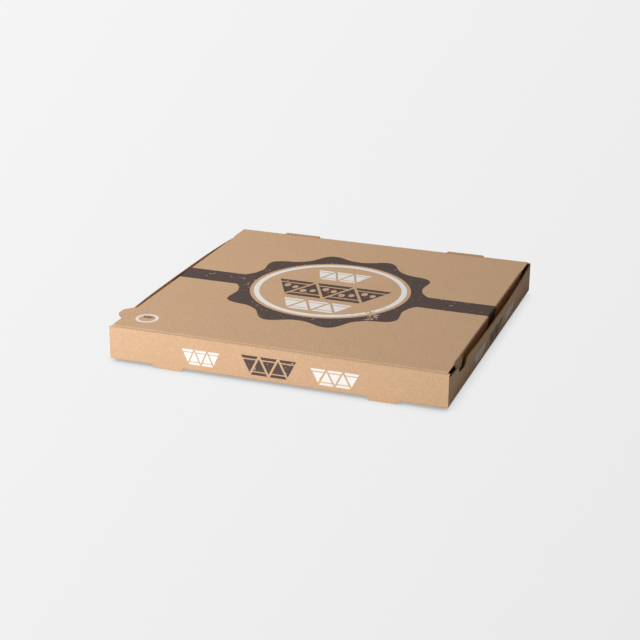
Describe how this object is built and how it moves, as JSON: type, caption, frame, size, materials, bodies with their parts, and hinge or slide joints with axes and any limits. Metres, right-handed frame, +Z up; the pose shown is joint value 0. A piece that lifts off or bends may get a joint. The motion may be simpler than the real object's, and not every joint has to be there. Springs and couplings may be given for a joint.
{
  "type": "pizza box",
  "caption": "Flat square take-away pizza box folded from thin kraft corrugated board, with a rolled front wall, side ears and a lid hinged at the back crease.",
  "frame": {"origin": "centre of the footprint, on the surface that the feet stand on", "axes": "+Z up, +Y from the rolled front wall to the hinge crease at the back, +X to the right seen from the front"},
  "size_m": [0.3426, 0.33, 0.0366],
  "materials": {
    "tray_board": "matte",
    "lid_board": "matte"
  },
  "bodies": {
    "tray": {"tray": "tray_board"},
    "lid": {"lid": "lid_board"}
  },
  "joints": [
    {"name": "lid_hinge", "type": "hinge", "parent": "tray", "child": "lid", "pos_m": [0, 0.165, 0.0339], "axis": [-1, 0, 0], "range_deg": [0, 180]}
  ]
}
